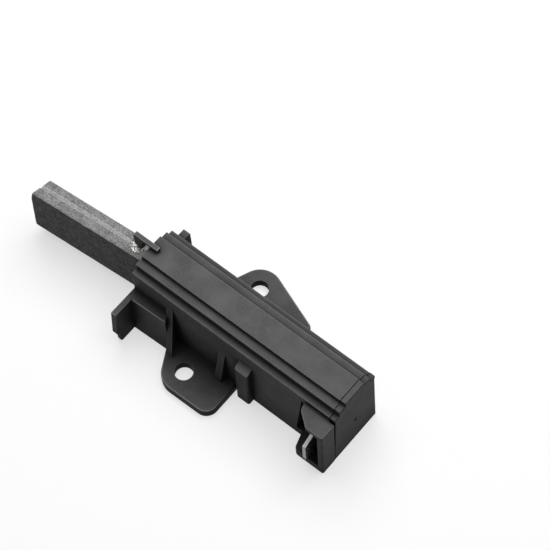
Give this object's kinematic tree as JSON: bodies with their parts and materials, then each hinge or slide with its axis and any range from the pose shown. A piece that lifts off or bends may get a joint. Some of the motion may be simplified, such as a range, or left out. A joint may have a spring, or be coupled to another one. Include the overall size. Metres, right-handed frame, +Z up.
{
  "type": "carbon brush",
  "caption": "Spring-loaded motor carbon brush: a leaning, grooved carbon block that slides into a stepped black holder with screw ears, side ribs and a side terminal socket.",
  "frame": {"origin": "centre of the holder's flat base", "axes": "+X along the holder to its closed rear end (the carbon sticks out towards -X), +Z up from the base; the terminal socket is on the -Y side"},
  "size_m": [0.0866, 0.0353, 0.0226],
  "materials": {
    "housing_plastic": "black glass-filled moulding, fine grain",
    "cover_plastic": "black glass-filled moulding, fine grain",
    "cap_plastic": "black glass-filled moulding, fine grain",
    "hook_plastic": "black moulding, slightly glossier",
    "carbon_graphite": "pressed graphite, dull with a fine mottled grain",
    "tamped_powder": "tamped metal powder, speckled",
    "spring_steel": "drawn spring wire",
    "contact_metal": "plain rolled strip",
    "tab_metal": "tin-plated, bright"
  },
  "bodies": {
    "holder": {"holder_housing": "housing_plastic", "stepped_cover": "cover_plastic", "end_cap": "cap_plastic", "stop_hook": "hook_plastic", "spring_seat": "contact_metal", "terminal_tab": "tab_metal"},
    "spring_front": {"brush_spring": "spring_steel"},
    "carbon_block": {"carbon": "carbon_graphite", "tamped_plug": "tamped_powder"}
  },
  "joints": [
    {"name": "brush_slide", "type": "slide", "parent": "holder", "child": "spring_front", "axis": [1, 0, 0], "range_m": [0, 0.027], "stiffness_N_per_m": 40, "springref_m": -0.005, "deforming": ["brush_spring"]},
    {"name": "carbon_play", "type": "hinge", "parent": "spring_front", "child": "carbon_block", "pos_m": [-0.02, 0.00041, 0.01], "axis": [0, 0, -1], "range_deg": [0, 4.31]}
  ],
  "couplings": [
    {"joint": "carbon_play", "follows": "brush_slide", "rad_per_m": 2.7795}
  ]
}
